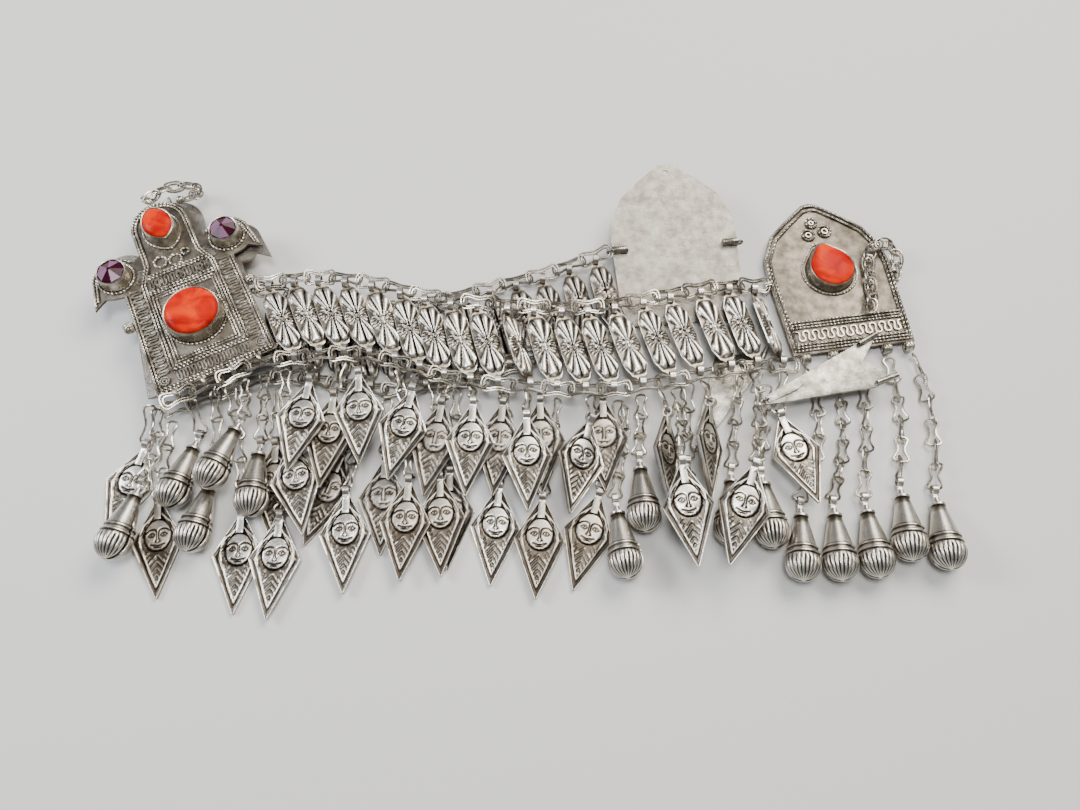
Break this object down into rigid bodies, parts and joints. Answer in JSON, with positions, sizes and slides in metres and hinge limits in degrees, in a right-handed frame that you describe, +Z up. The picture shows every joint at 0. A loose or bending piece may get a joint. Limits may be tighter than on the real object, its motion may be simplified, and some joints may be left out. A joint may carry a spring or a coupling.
{
  "type": "wedding belt",
  "caption": "Folded silver wedding belt: stamped plates on loop chains between stone-set plaques, with kite and bell pendants on drop chains and fishtail hooks.",
  "frame": {"origin": "middle of the laid belt's box, on the surface it rests on", "axes": "+X along the folded belt to the viewer's right, +Y from the pendants towards the plaques' tops, +Z up from the surface"},
  "size_m": [0.3312, 0.1878, 0.0215],
  "materials": {
    "silver": "worn hand-worked silver, bright on the edges and dark in the hollows",
    "aged_silver": "dull tarnished silver",
    "carnelian": "polished orange-red stone, cloudy inside",
    "plum_glass": "faceted plum-coloured glass"
  },
  "bodies": {
    "root": {"winged_plaque": "silver", "winged_plaque_under": "aged_silver", "end_plaque": "silver", "end_plaque_reversed": "aged_silver", "round_carnelian": "carnelian", "top_carnelian": "carnelian", "wing_glass": "plum_glass", "under_stones": "carnelian", "pear_carnelian": "carnelian", "pear_carnelian_reversed": "carnelian", "front_plates": "silver", "back_plates": "aged_silver", "front_top_chain": "silver", "front_bottom_chain": "silver", "back_top_chain": "aged_silver", "back_bottom_chain": "aged_silver", "left_drop_chains": "silver", "middle_drop_chains": "silver", "right_drop_chains": "silver", "back_kite_pendants": "aged_silver", "left_bells": "silver", "middle_bells": "silver", "right_bells": "silver", "front_hook": "silver", "back_hook": "silver", "clasp_chain": "silver", "side_chain": "silver", "kite_pendant_1": "silver", "kite_pendant_2": "silver", "kite_pendant_3": "silver", "kite_pendant_4": "silver", "kite_pendant_5": "silver", "kite_pendant_6": "silver", "kite_pendant_7": "silver", "kite_pendant_8": "silver", "kite_pendant_9": "silver", "kite_pendant_10": "silver", "kite_pendant_11": "silver", "kite_pendant_12": "silver", "kite_pendant_13": "silver", "kite_pendant_14": "silver", "kite_pendant_15": "silver", "kite_pendant_16": "silver", "kite_pendant_17": "silver", "kite_pendant_18": "silver", "kite_pendant_19": "silver", "kite_pendant_20": "silver", "kite_pendant_21": "silver", "kite_pendant_22": "silver", "kite_pendant_23": "silver", "kite_pendant_24": "silver"}
  },
  "joints": []
}
